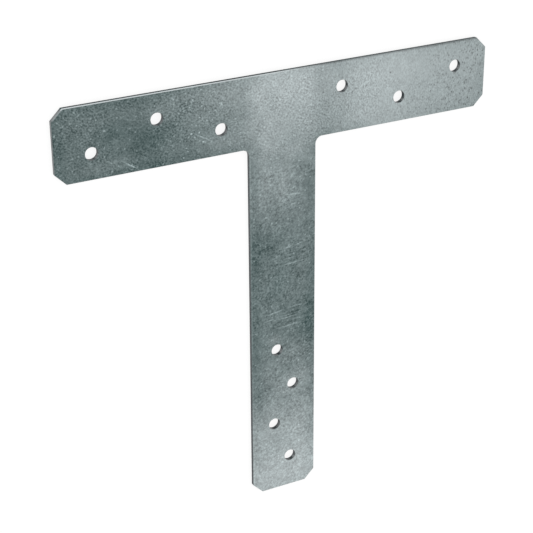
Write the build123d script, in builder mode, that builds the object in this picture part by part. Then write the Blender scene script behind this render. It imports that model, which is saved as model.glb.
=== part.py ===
"""T-shaped strap tie: one flat plate, blanked and punched from galvanised steel sheet.

It ties a beam to the post under it: the crossbar is bolted along the beam, the stem down the post.

The frame: X runs along the crossbar, Y up the stem towards the crossbar, Z out of the front face.
The origin is on the back face, where the centre lines of the crossbar and the stem cross.
Lengths are in millimetres.
"""

import os
from math import atan2, degrees

from build123d import *

INCH = 25.4

# Outline of the blank
bar_length = 16 * INCH
bar_width = 2.5 * INCH
stem_width = 2.5 * INCH
tie_height = 16 * INCH  # from the crossbar's top edge to the lower end of the stem
corner_cut = 3 / 8 * INCH  # each leg of the 45 degree cut across an outer corner
inner_radius = 1 / 4 * INCH  # where the crossbar meets the stem

# Sheet, and the walls that the press leaves in it
sheet_thickness = 0.179 * INCH  # 7 gauge
shear_depth = 2.3  # the tools cut this deep from the front, and the rest tears through
tear = 0.2  # how far the torn part of a wall slopes back from the cut part
edge_roll = 0.7  # radius of the front edge of the blank, pulled down by the cut
edge_break = 0.25  # radius of the back edge of the blank, tumbled smooth

# Bolt holes, for 3/8 in bolts
hole_diameter = 7 / 16 * INCH
hole_roll_width = 0.45  # the front rim of a hole is pulled down too, over this width
hole_roll_depth = 0.26  # and to this depth

# Layout of the bolt holes
end_distance = 1.25 * INCH  # from the end of each arm, and of the stem, to the first hole
bar_pitch = 2.25 * INCH
bar_holes_per_arm = 3
bar_stagger = 3 / 8 * INCH  # from the crossbar's centre line, alternately above and below
stem_pitch = 1.5 * INCH
stem_stagger_inner = 3 / 8 * INCH  # from the stem's centre line, for the middle two holes
stem_stagger_outer = 1 / 4 * INCH  # the same, for the first and the last hole

bar_top = bar_width / 2
stem_end = bar_top - tie_height
tear_top = sheet_thickness - shear_depth


def bar_hole_places():
    """Centres of the crossbar's holes. One arm is the other, turned half a turn about the origin."""
    places = []
    for count in range(bar_holes_per_arm):
        x = bar_length / 2 - end_distance - count * bar_pitch
        y = bar_stagger * (-1) ** count
        places += [(x, y), (-x, -y)]
    return places


def stem_hole_places():
    """Centres of the stem's holes, from its lower end upwards."""
    offsets = (stem_stagger_outer, -stem_stagger_inner, stem_stagger_inner, -stem_stagger_outer)
    first = stem_end + end_distance
    return [(x, first + count * stem_pitch) for count, x in enumerate(offsets)]


def inner_corners(sketch):
    """The two corners where the stem meets the crossbar's lower edge."""
    under_bar = sketch.vertices().filter_by_position(Axis.Y, -bar_width / 2, -bar_width / 2)
    return under_bar.sort_by(lambda corner: abs(corner.X))[:2]


# The space that one punch leaves: a rolled rim, a straight cut wall, and a torn wall under it
with BuildPart() as punched_hole:
    with BuildSketch(Plane.XZ):
        overrun = 1  # past each face, so that the hole goes clean through
        cut_radius = hole_diameter / 2
        rim_radius = cut_radius + hole_roll_width
        mouth_radius = cut_radius + tear * (1 + overrun / tear_top)
        with BuildLine():
            Polyline((0, -overrun), (mouth_radius, -overrun), (cut_radius, tear_top))
            Line((cut_radius, tear_top), (cut_radius, sheet_thickness - hole_roll_depth))
            rim = (rim_radius, sheet_thickness)
            TangentArc(rim, (cut_radius, sheet_thickness - hole_roll_depth), tangent=(-1, 0))
            above = sheet_thickness + overrun
            Polyline(rim, (rim_radius, above), (0, above), (0, -overrun))
        make_face()
    revolve(axis=Axis.Z)

with BuildPart() as plate:
    # The blank: the cut part of its wall stands straight, and the torn part slopes in to the back
    with BuildSketch(Plane.XY.offset(tear_top)) as outline:
        Rectangle(bar_length, bar_width)
        with Locations((0, bar_top)):
            Rectangle(stem_width, tie_height, align=(Align.CENTER, Align.MAX))
        corners = outline.vertices()
        arm_corners = corners.group_by(Axis.X)[0] + corners.group_by(Axis.X)[-1]
        stem_corners = corners.group_by(Axis.Y)[0]
        chamfer(arm_corners + stem_corners, corner_cut)
        fillet(inner_corners(outline), inner_radius)
    extrude(outline.sketch, amount=shear_depth)
    extrude(outline.sketch, amount=-tear_top, taper=degrees(atan2(tear, tear_top)))

    # Its rolled front edge and its tumbled back edge
    fillet(plate.faces().sort_by(Axis.Z)[-1].edges(), edge_roll)
    fillet(plate.faces().sort_by(Axis.Z)[0].edges(), edge_break)

    # The bolt holes
    with Locations(bar_hole_places() + stem_hole_places()):
        add(punched_hole.part, mode=Mode.SUBTRACT)

plate.part.label = "tie_plate"
os.makedirs("parts", exist_ok=True)
export_step(plate.part, "parts/tie_plate.step")
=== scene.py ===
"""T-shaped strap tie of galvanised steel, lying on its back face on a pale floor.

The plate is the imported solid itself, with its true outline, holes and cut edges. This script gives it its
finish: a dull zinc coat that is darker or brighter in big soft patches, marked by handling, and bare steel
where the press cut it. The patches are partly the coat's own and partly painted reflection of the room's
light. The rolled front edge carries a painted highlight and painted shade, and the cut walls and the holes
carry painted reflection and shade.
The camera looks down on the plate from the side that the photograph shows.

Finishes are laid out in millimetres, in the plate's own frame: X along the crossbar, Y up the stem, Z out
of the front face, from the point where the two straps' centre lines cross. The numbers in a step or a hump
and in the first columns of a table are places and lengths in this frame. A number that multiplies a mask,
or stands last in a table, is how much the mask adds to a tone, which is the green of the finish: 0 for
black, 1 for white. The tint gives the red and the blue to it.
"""

import math

import bmesh
import bpy
from mathutils import Matrix, Vector


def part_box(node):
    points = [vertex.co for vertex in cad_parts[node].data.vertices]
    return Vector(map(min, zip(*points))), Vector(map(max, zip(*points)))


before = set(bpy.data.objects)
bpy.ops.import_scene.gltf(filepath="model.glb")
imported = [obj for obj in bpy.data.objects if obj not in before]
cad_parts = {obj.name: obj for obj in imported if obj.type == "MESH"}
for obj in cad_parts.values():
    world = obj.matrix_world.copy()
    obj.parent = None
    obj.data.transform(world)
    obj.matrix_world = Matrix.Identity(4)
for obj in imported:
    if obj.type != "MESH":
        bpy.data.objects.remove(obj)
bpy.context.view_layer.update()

MM = 0.001

# The plate, as the sheet and the press leave it (mm)
low_corner, high_corner = (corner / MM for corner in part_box("tie_plate"))
half_bar_length = high_corner.x
half_bar_width = high_corner.y
half_stem_width = half_bar_width  # both straps have the same width
stem_end = low_corner.y
front_face = high_corner.z
corner_cut = 9.525
tear_top = 2.25  # the walls are cut clean above this height, and torn below it

# Its bolt holes, on the crossbar from each end inwards and on the stem from its lower end upwards (mm)
end_distance = 31.75
holes_per_arm = 3
bar_pitch = 57.15
bar_stagger = 9.525
stem_pitch = 38.1
stem_offsets = (6.35, -9.525, 9.525, -6.35)


class Signal:
    """What one socket of a shader node gives. Arithmetic on it adds Math nodes to the same tree."""

    def __init__(self, graph, socket):
        self.graph = graph
        self.socket = socket

    def also(self, name):
        """Another output of the same node."""
        return Signal(self.graph, self.socket.node.outputs[name])

    def math(self, operation, *values):
        return self.graph.node("ShaderNodeMath", {"operation": operation}, dict(enumerate(values)))

    def __add__(self, other):
        return self.math("ADD", self, other)

    def __radd__(self, other):
        return self.math("ADD", other, self)

    def __sub__(self, other):
        return self.math("SUBTRACT", self, other)

    def __rsub__(self, other):
        return self.math("SUBTRACT", other, self)

    def __mul__(self, other):
        return self.math("MULTIPLY", self, other)

    def __rmul__(self, other):
        return self.math("MULTIPLY", other, self)

    def __abs__(self):
        return self.math("ABSOLUTE", self)

    def least(self, other):
        return self.math("MINIMUM", self, other)

    def most(self, other):
        return self.math("MAXIMUM", self, other)

    def toward(self, other, share):
        """This signal where share is 0, the other where it is 1."""
        return self + (other - self) * share


class Graph:
    """A shader tree under construction. Every node in it comes from node()."""

    def __init__(self, owner):
        owner.use_nodes = True
        self.nodes = owner.node_tree.nodes
        self.links = owner.node_tree.links
        self.nodes.clear()

    def node(self, kind, settings=None, inputs=None, output=0):
        """Adds a node: its settings first, then the values or links of its sockets. Gives one output."""
        made = self.nodes.new(kind)
        for name, value in (settings or {}).items():
            setattr(made, name, value)
        for key, value in (inputs or {}).items():
            if isinstance(value, Signal):
                self.links.new(value.socket, made.inputs[key])
            else:
                made.inputs[key].default_value = value
        return Signal(self, made.outputs[output] if made.outputs else None)

    def step(self, value, start, end):
        """0 where value is at start or before it, 1 at end or past it, and a soft rise between."""
        return self.node(
            "ShaderNodeMapRange",
            {"interpolation_type": "SMOOTHSTEP", "clamp": True},
            {"Value": value, "From Min": start, "From Max": end},
        )

    def hump(self, value, centre, reach):
        """1 at centre, falling softly to 0 at reach on each side of it."""
        return self.step(abs(value - centre), reach, 0)

    def laid(self, place, middle=(0, 0, 0), turn=0, size=(1, 1, 1)):
        """The place seen from a box of this size, turned about Z by degrees, with its middle at zero."""
        return self.node(
            "ShaderNodeMapping",
            {"vector_type": "TEXTURE"},
            {"Vector": place, "Location": middle, "Rotation": (0, 0, math.radians(turn)), "Scale": size},
        )

    def noise(self, place, size, detail=0.0, roughness=0.5, distortion=0.0):
        """Random tones about 0, in soft patches of about this size."""
        return self.node(
            "ShaderNodeTexNoise",
            {"noise_dimensions": "3D"},
            {
                "Vector": place,
                "Scale": 1 / size,
                "Detail": detail,
                "Roughness": roughness,
                "Distortion": distortion,
            },
        ) - 0.5

    def spots(self, place, spacing, radius, share):
        """Round spots, at most one to a cell of this spacing, in this share of the cells."""
        near = self.node(
            "ShaderNodeTexVoronoi", {"voronoi_dimensions": "2D"}, {"Vector": place, "Scale": 1 / spacing})
        luck = self.node("ShaderNodeSeparateColor", inputs={0: near.also("Color")})
        return self.step(near, radius / spacing, 0) * self.step(luck, 1 - share, 1 - share + 0.05)

    def blend(self, share, first, second):
        """The first colour where share is 0, the second where it is 1."""
        return self.node("ShaderNodeMix", {"data_type": "RGBA"}, {0: share, 6: first, 7: second}, output=2)

    def tinted(self, tone, dark, light):
        """The colour between dark and light whose green is this tone."""
        share = (tone - dark[1]) * (1 / (light[1] - dark[1]))
        return self.blend(share, dark, light)

    def seen(self):
        """1 where the camera sees this, straight, mirrored or through glass, and 0 where it only lights."""
        straight = self.node("ShaderNodeLightPath", output="Is Camera Ray")
        mirrored = straight.also("Is Glossy Ray")
        through = straight.also("Is Transmission Ray")
        return straight.most(mirrored).most(through)


def plate_place(graph):
    """The place on the plate in millimetres, whole and as X, Y and Z."""
    metres = graph.node("ShaderNodeTexCoord", output="Object")
    place = graph.node("ShaderNodeVectorMath", {"operation": "SCALE"}, {0: metres, "Scale": 1 / MM})
    across = graph.node("ShaderNodeSeparateXYZ", inputs={0: place})
    return place, across, across.also("Y"), across.also("Z")


def hole_places():
    """Centres of the bolt holes. One arm is the other, turned half a turn about the origin."""
    places = [(x, stem_end + end_distance + count * stem_pitch) for count, x in enumerate(stem_offsets)]
    for count in range(holes_per_arm):
        x = half_bar_length - end_distance - count * bar_pitch
        y = bar_stagger * (-1) ** count
        places += [(x, y), (-x, -y)]
    return places


def marks(graph, place, table, reach=2):
    """Soft-ended marks: each has its middle, its turn, its length and width, and its gain.

    They fade out at this reach above and below the front face.
    """
    total = 0
    for x, y, turn, length, width, gain in table:
        near = graph.laid(place, (x, y, front_face), turn, (length / 2, width / 2, reach))
        mark = graph.node("ShaderNodeTexGradient", {"gradient_type": "SPHERICAL"}, {0: near}, output="Fac")
        total = mark * gain + total
    return total


def zinc_clouds_and_sheen(graph, place, x, y, inside):
    """How bright the zinc looks over the whole plate: darker on one arm and half way down the stem.

    The brightness is partly the coat's own clouding and partly painted reflection of the room's light.
    """
    # The borders between bright and dark wander
    bar_x = x + graph.noise(place, 30, 3) * 40
    stem_y = y + graph.noise(graph.laid(place, (90, 40, 0)), 30, 3) * 40

    dark_arm_level = 0.162
    bar = graph.step(bar_x, -115, -35) * 0.105 + graph.step(bar_x, -38, -8) * 0.120 + dark_arm_level
    bar = bar - graph.hump(bar_x, 48, 26) * 0.05 + graph.hump(bar_x, 98, 45) * 0.025
    bar = bar - graph.step(x, 110, 200) * 0.04
    bar = bar + graph.step(y, -5, 28) * (graph.hump(x, -15, 90) * 0.035 + 0.015)
    bar = bar - graph.step(y, 18, -22) * (graph.hump(x, 12, 60) * 0.045 + graph.step(x, 0, 60) * 0.025)

    dark_stem_level = 0.182
    stem = graph.step(stem_y, -130, -50) * 0.10 + graph.step(stem_y, -50, -26) * 0.10
    stem = stem + graph.step(stem_y, -215, -385) * 0.27 + dark_stem_level

    # The stem's tone has risen about this far where the crossbar's takes over
    stem_top = 0.375
    on_bar = graph.step(y, -58, -30)
    clouds_and_sheen = stem + (bar - stem_top) * on_bar

    # Darker and lighter patches, partly the coat's own and partly painted reflection
    darker_and_lighter = (
        (24, -66, 80, 70, 44, -0.055),
        (8, -31, 10, 44, 30, -0.050),
        (-24, -9, 75, 52, 30, 0.060),
        (-17, -42, 60, 34, 20, 0.040),
        (-17, -68, 85, 36, 18, 0.030),
        (-16, -122, 60, 64, 40, -0.030),
        (-4, -102, 10, 34, 24, 0.025),
        (6, -140, 15, 50, 26, -0.012),
        (-6, -163, 75, 46, 28, -0.035),
        (25, -204, 85, 60, 34, -0.055),
        (6, -236, 0, 66, 38, 0.050),
        (12, -262, 20, 50, 30, 0.070),
        (-26, -272, 90, 60, 34, -0.045),
        (-12, -329, 10, 50, 36, -0.030),
        (-152, 6, 10, 40, 26, -0.025),
        (-116, -6, 30, 60, 40, -0.030),
        (-110, 13, 0, 40, 22, 0.045),
        (-58, -2, 10, 56, 44, -0.025),
        (-136, -2, 0, 80, 44, -0.018),
        (-168, -25, 4, 80, 20, 0.040),
        (-90, 25, 0, 80, 16, 0.050),
        (-75, -10, 0, 60, 30, -0.018),
        (14, -52, 80, 40, 24, -0.030),
        (0, -74, 85, 44, 16, 0.032),
        (-25, -62, 85, 30, 16, -0.020),
        (-9, -218, 0, 18, 16, 0.085),
        (24, -132, 80, 70, 22, 0.026),
        (-20, -254, 70, 34, 24, 0.030),
        (6, -273, 0, 26, 16, 0.035),
        (2, -190, 10, 40, 24, -0.012),
        (-27, -60, 88, 60, 10, -0.015),
        (28, -325, 85, 70, 22, -0.030),
        (-10, 12, 85, 36, 20, -0.040),
        (34, 16, 75, 30, 22, -0.040),
    )
    clouds_and_sheen = clouds_and_sheen + marks(graph, place, darker_and_lighter)

    # The zinc is a little duller towards the outline
    return clouds_and_sheen - graph.step(inside, 15, 1) * 0.028


def grain_strength(graph, place):
    """How strongly the grain shows: it comes and goes in patches, and parts of the zinc are smooth."""
    rough_and_smooth = (
        (-182, 16, 0, 50, 34, 0.35),
        (-135, 0, 0, 70, 44, -0.25),
        (-88, 10, 10, 90, 56, 0.45),
        (0, 12, 0, 80, 50, 0.15),
        (55, -6, 10, 110, 60, 0.75),
        (140, 16, 8, 100, 40, -0.36),
        (178, -18, 8, 50, 30, 0.15),
        (24, -86, 90, 80, 36, -0.45),
        (-10, -66, 90, 50, 40, 0.20),
        (-22, -247, 90, 80, 32, -0.40),
        (-4, -203, 0, 70, 54, -0.35),
    )
    uneven = graph.noise(graph.laid(place, (50, 20, 0)), 12, 1) * 1.1 + 1
    return uneven + marks(graph, place, rough_and_smooth)


def handling_marks(graph, place):
    """Single nicks and bright scratches, where the photograph shows the clearest of them."""
    nicks = (
        (-134, -26.8, -35, 6, 1.3, 0.10),
        (-159.5, 7.6, -52, 4.5, 2.0, 0.19),
        (-181.3, 23.8, 35, 7, 1.6, 0.16),
        (-184.4, 27.2, -45, 4, 1.6, 0.18),
        (-201.6, 10.5, 80, 4, 2.0, 0.20),
        (-116, -9, 75, 5, 1.3, 0.13),
        (-113.6, -12, 75, 5, 1.3, 0.13),
        (-84.5, -8.3, 0, 2.8, 2.6, 0.33),
        (-81.5, -11.9, 0, 2.6, 2.2, 0.20),
        (-90.8, 12.1, 0, 2.4, 2.2, 0.20),
        (-20, -210.5, 40, 5, 3.2, 0.18),
        (-13, -203, 0, 4, 3.0, 0.12),
        (10, -89, 5, 12, 1.8, 0.12),
        (-19, -98, 35, 8, 2.2, 0.10),
        (8, -63, 45, 6, 2.0, 0.14),
        (26, -245, 0, 5, 5, 0.08),
        (10, -317, 60, 7, 2.2, 0.12),
        (19, -321, 55, 9, 2.0, 0.11),
        (15, -330, 20, 7, 2.2, 0.11),
        (24, -315, 70, 6, 2.0, 0.10),
        (23, -188, 30, 5, 2.0, 0.13),
        (14, -55, 60, 5, 2.2, 0.16),
        (-57, 13, 0, 2.8, 2.6, 0.16),
        (-188, -11, 0, 3.2, 2.4, 0.16),
        (105, 14, 0, 2.8, 2.6, -0.26),
        (182, -7, 0, 2.8, 2.4, -0.16),
        (190, -14, -30, 5, 2.2, -0.18),
    )
    scratches = (
        (-74, -13.2, -30, 22, 1.6, 0.14),
        (-72, -17.8, -28, 17, 1.6, 0.12),
        (-138, -26.0, -35, 20, 1.8, 0.27),
        (-136, 12.8, -14, 19, 1.5, 0.07),
        (11, -145, 3, 28, 1.8, 0.17),
        (6, -140, 3, 17, 1.6, 0.12),
        (7, -129, 10, 22, 1.6, 0.14),
        (15, -128, 17, 18, 1.5, 0.12),
        (-9.5, -190.6, 8, 21, 2.0, 0.18),
        (12, -188, 1, 20, 1.8, 0.15),
        (0, -198, 2, 28, 1.7, 0.13),
        (6, -206, 3, 32, 1.7, 0.11),
        (-14, -197, 6, 15, 1.7, 0.13),
        (10, -80, -6, 20, 2.0, 0.12),
    )
    # A scratch skips over the coat's hollows, so it comes and goes along its length
    skips = (graph.noise(graph.laid(place, (7, 7, 0)), 2.2, 1) * 4 + 1).most(0)
    return marks(graph, place, nicks) + marks(graph, place, scratches) * skips


def inside_outline(x, y):
    """How far inside the blank's outline a place lies."""
    bar = (half_bar_length - abs(x)).least(half_bar_width - abs(y))
    stem = (half_stem_width - abs(x)).least(y - stem_end).least(half_bar_width - y)
    arm_corner = (half_bar_length + half_bar_width - corner_cut - abs(x) - abs(y)) * math.sqrt(0.5)
    stem_corner = (half_stem_width - stem_end - corner_cut - abs(x) + y) * math.sqrt(0.5)
    return bar.least(arm_corner).most(stem.least(stem_corner))


def coat_grain(graph, place, on_stem, on_right):
    """The grain of the coat: it leans one way on the dull arm and the other down the stem."""
    arm_grain = graph.noise(graph.laid(place, turn=-30, size=(1.1, 1, 1)), 1.55, 1)
    stem_grain = graph.noise(graph.laid(place, turn=38, size=(1.12, 0.98, 1)), 1.7, 1)
    fine_grain = graph.noise(graph.laid(place, size=(0.8, 1.3, 1)), 1.25, 1)
    return arm_grain.toward(stem_grain, on_stem).toward(fine_grain, on_right)


def coat_wear(graph, place, x, y, on_stem, on_right):
    """The small things on the coat that are lighter or darker than it."""
    # Thin light curls in the dull zinc
    curls = graph.step(abs(graph.noise(place, 2.8, 0, distortion=0.4)), 0.07, 0) - 0.25
    wear = curls * (1 - on_right) * 0.055

    # Faint lines rubbed across the stem, and others that slant up its lower end
    rubbed = graph.noise(graph.laid(place, turn=5, size=(9, 0.9, 1)), 1.2, 1)
    rubbed_at = graph.hump(y, -138, 30) + graph.hump(y, -200, 30) + graph.hump(y, -86, 20) * 0.7
    wear = wear + rubbed * rubbed_at * graph.hump(x, 6, 36) * 0.22
    slanting = graph.noise(graph.laid(place, turn=38, size=(7, 0.8, 1)), 1, 1)
    wear = wear + slanting * graph.step(y, -225, -300) * 0.06

    # Light specks on the dull zinc, with a second set on its arm
    wear = wear + graph.spots(place, 5.5, 1.1, 0.3) * 0.15 * (1 - on_right)
    on_arm = graph.hump(x, -82, 50) * (1 - on_stem)
    wear = wear + graph.spots(graph.laid(place, (4, 3, 0), 20), 5, 1.1, 0.25) * on_arm * 0.26

    # Dark pits on the bright arm, thickest at its end
    calm = graph.hump(x, 130, 45) * graph.step(y, -10, 10)
    pitted = graph.step(x, 0, 60) * 0.45 + graph.step(x, 110, 200) * 0.55 - calm * 0.3
    pit_place = graph.laid(place, (3, 7, 0), size=(0.85, 1.25, 1))
    wear = wear - graph.spots(pit_place, 2, 1.25, 0.2) * 0.19 * pitted
    return wear + handling_marks(graph, place)


def painted_hole_shading(graph, place):
    """Painted shade and reflection round each hole's wall: dark on one side, paler beside it."""
    shading_round_a_hole = (
        (5.3, 2.0, 5.6, -0.26),
        (4.5, -3.4, 6.0, 0.12),
        (2.0, -5.4, 4.0, -0.05),
        (-2.4, -5.2, 6.0, 0.05),
    )
    shading_bands = [
        (hole_x + across, hole_y + up, 0, width, width, gain)
        for hole_x, hole_y in hole_places()
        for across, up, width, gain in shading_round_a_hole
    ]
    straight_down = 60  # so far that a band hardly fades from the front to the back
    return marks(graph, place, shading_bands, straight_down)


def galvanised_steel():
    """The finish of the whole plate: zinc on its faces, bare steel on the walls that the press cut."""
    material = bpy.data.materials.new("galvanised_steel")
    graph = Graph(material)
    place, x, y, z = plate_place(graph)
    inside = inside_outline(x, y)
    on_stem = graph.step(y, -35, -60)
    on_right = graph.step(x, 20, 80) * (1 - on_stem)
    stem_side = graph.step(y, -33, -40) * graph.step(x, -28, -31)
    by_top = graph.step(y, 22, 24)

    # The coat: its cloudy tone, partly painted sheen, and the grain, patches and wear in it
    clouds_and_sheen = zinc_clouds_and_sheen(graph, place, x, y, inside)
    grain = coat_grain(graph, place, on_stem, on_right)
    grain_gain = grain_strength(graph, place) * (0.17 + clouds_and_sheen * (0.82 - on_right * 0.24 - on_stem * 0.10))
    patches = graph.noise(place, 8, 2, 0.5) * (0.11 + on_stem * 0.05 - on_right * 0.05)
    tone = clouds_and_sheen + grain * grain_gain + patches + coat_wear(graph, place, x, y, on_stem, on_right)

    # Its rolled front edge: a painted highlight along the top of the dull arm and down the stem's left
    # side, and painted shade along the top of the other arm
    painted_edge_highlight = graph.step(inside, 0.75, 0.3) * by_top * graph.step(x, 45, -15)
    edge_highlight_tone = graph.step(y, 30.2, 30.9) * 0.32 + 0.36
    tone = tone.toward(edge_highlight_tone, painted_edge_highlight)
    tone = tone + graph.step(inside, 1.4, 0.7) * stem_side * 0.06
    rim_shade = graph.step(inside, 1.8, 0.4) * graph.step(y, 28.5, 30) * graph.step(x, 10, 60)
    tone = tone * (1 - rim_shade * (graph.step(x, 100, 145) * 0.10 + 0.16))

    # The tint follows the cloudy tone with its painted sheen, and the painted edge highlight. The grain and
    # marks in them change how light the zinc is, hardly its tint
    tint_at = clouds_and_sheen.toward(edge_highlight_tone, painted_edge_highlight)
    zinc = graph.tinted(tint_at, dark=(0.045, 0.080, 0.079, 1), light=(0.747, 0.800, 0.813, 1))
    darkest = 0.07
    lighter = tone.most(darkest) - tint_at
    grain_tint = (0.86, 1, 1.01)
    add_to_zinc = {0: lighter, 1: grain_tint, 2: zinc}
    zinc = graph.node("ShaderNodeVectorMath", {"operation": "MULTIPLY_ADD"}, add_to_zinc)

    # The walls are bare, but the press smears zinc over their front. On top of the left arm the zinc, with
    # the painted highlight on it, reaches further down the wall.
    at_outline = graph.step(inside, 1.6, 1.2)
    smeared = at_outline * (0.44 + by_top * graph.step(x, -45, -95) * 0.31)
    bare = graph.step(front_face - z - smeared, 0.10, 0.30) * graph.step(z, 0.02, 0.12)

    # The bare steel: streaked from front to back, and duller where it tore. Its dark tone is partly painted
    # reflection, and so are the changes from wall to wall: the left end and the corner cut lighter, the top
    # wall and the lower left side of the stem darker, and the painted shade and reflection round each hole.
    streaks = graph.noise(graph.laid(place, size=(1, 1, 1000)), 2.2, 1)
    torn = graph.step(z, tear_top + 0.2, tear_top - 0.2)
    top_wall = graph.step(y, 30.5, 31.3)
    corner_wall = graph.step(x, -192.5, -196) * graph.step(y, 21, 25) * graph.step(y, 31.8, 31.2)
    wall_tone_and_light = 0.100 + graph.step(x, -192, -200) * 0.10 + corner_wall * 0.11 - torn * 0.02
    wall_tone_and_light = wall_tone_and_light - top_wall * (graph.hump(x, -38, 42) * 0.025 + 0.05)
    wall_tone_and_light = wall_tone_and_light - stem_side * graph.step(y, -120, -190) * 0.025
    wall_tone_and_light = wall_tone_and_light + streaks * (0.38 - at_outline * 0.24) + painted_hole_shading(graph, place)
    steel = graph.tinted(wall_tone_and_light, dark=(0.010, 0.020, 0.024, 1), light=(0.385, 0.40, 0.405, 1))
    # The top wall's teal tint is painted reflection
    top_wall_tint = graph.tinted(wall_tone_and_light, dark=(0.008, 0.020, 0.021, 1), light=(0.24, 0.40, 0.41, 1))
    wall = graph.blend(top_wall, steel, top_wall_tint)

    zinc_roughness = 0.53 - tone * 0.12 + grain * 0.20
    wall_roughness = 0.36 + streaks * 0.30 + torn * 0.20
    height = grain.toward(streaks + torn * 0.3, bare)
    bump = graph.node("ShaderNodeBump", inputs={"Strength": 0.3, "Distance": 0.2 * MM, "Height": height})
    shader = graph.node(
        "ShaderNodeBsdfPrincipled",
        inputs={
            "Base Color": graph.blend(bare, zinc, wall),
            "Metallic": 1.0,
            "Roughness": zinc_roughness.toward(wall_roughness, bare),
            "Normal": bump,
        },
    )
    graph.node("ShaderNodeOutputMaterial", inputs={"Surface": shader})
    return material


def pale_floor():
    """A white floor that still shows the plate's soft shadow."""
    floor_glow = 0.84
    floor_white = 0.26
    material = bpy.data.materials.new("pale_floor")
    graph = Graph(material)
    matt = graph.node("ShaderNodeBsdfDiffuse", inputs={"Color": (floor_white, floor_white, floor_white, 1)})
    strength = graph.seen() * floor_glow
    glow = graph.node("ShaderNodeEmission", inputs={"Color": (1, 1, 1, 1), "Strength": strength})
    both = graph.node("ShaderNodeAddShader", inputs={0: matt, 1: glow})
    graph.node("ShaderNodeOutputMaterial", inputs={"Surface": both})
    return material


def lay_floor():
    """The plate lies on it, with a hair's gap so that the two faces don't fight."""
    half_width = 8
    gap = 0.1 * MM
    mesh = bpy.data.meshes.new("floor")
    sheet = bmesh.new()
    bmesh.ops.create_grid(sheet, x_segments=1, y_segments=1, size=half_width)
    bmesh.ops.translate(sheet, verts=sheet.verts, vec=(0, 0, -gap))
    sheet.to_mesh(mesh)
    sheet.free()
    floor = bpy.data.objects.new("floor", mesh)
    mesh.materials.append(pale_floor())
    bpy.context.scene.collection.objects.link(floor)


def light_room():
    """White all round to the camera and in reflections, and a plain level of light on the plate."""
    room_level = 0.7
    world = bpy.data.worlds.new("room")
    bpy.context.scene.world = world
    graph = Graph(world)
    strength = room_level + graph.seen() * (1 - room_level)
    air = graph.node("ShaderNodeBackground", inputs={"Color": (1, 1, 1, 1), "Strength": strength})
    graph.node("ShaderNodeOutputWorld", inputs={"Surface": air})


def hang_lamp():
    """A weak soft lamp, where the plate mirrors it to the camera (metres and watts)."""
    place = Vector((0.9, -0.8, 1.5))
    plate_middle = Vector((0, -0.1, 0))
    lamp = bpy.data.lights.new("soft_lamp", "AREA")
    lamp.shape = "SQUARE"
    lamp.size = 1.2
    lamp.energy = 2
    holder = bpy.data.objects.new("soft_lamp", lamp)
    holder.location = place
    holder.rotation_euler = (plate_middle - place).to_track_quat("-Z", "Y").to_euler()
    bpy.context.scene.collection.objects.link(holder)


def set_camera():
    """The camera stands above the crossbar's left arm and looks down across the plate."""
    place = Vector((-567.63, 425.89, 1067.65)) * MM
    look = Vector((0.41564, -0.42920, -0.80189))
    up = Vector((0.20481, 0.90318, -0.37726))
    camera_data = bpy.data.cameras.new("camera")
    camera_data.sensor_width = 36
    camera_data.lens = 102.87
    camera = bpy.data.objects.new("camera", camera_data)
    right = look.cross(up).normalized()
    up = right.cross(look).normalized()
    camera.matrix_world = Matrix.Translation(place) @ Matrix((right, up, -look)).transposed().to_4x4()
    bpy.context.scene.collection.objects.link(camera)
    bpy.context.scene.camera = camera


bpy.context.scene.view_settings.view_transform = "Standard"
set_camera()
light_room()
hang_lamp()
lay_floor()

tie_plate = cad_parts["tie_plate"]
tie_plate.data.materials.clear()
tie_plate.data.materials.append(galvanised_steel())
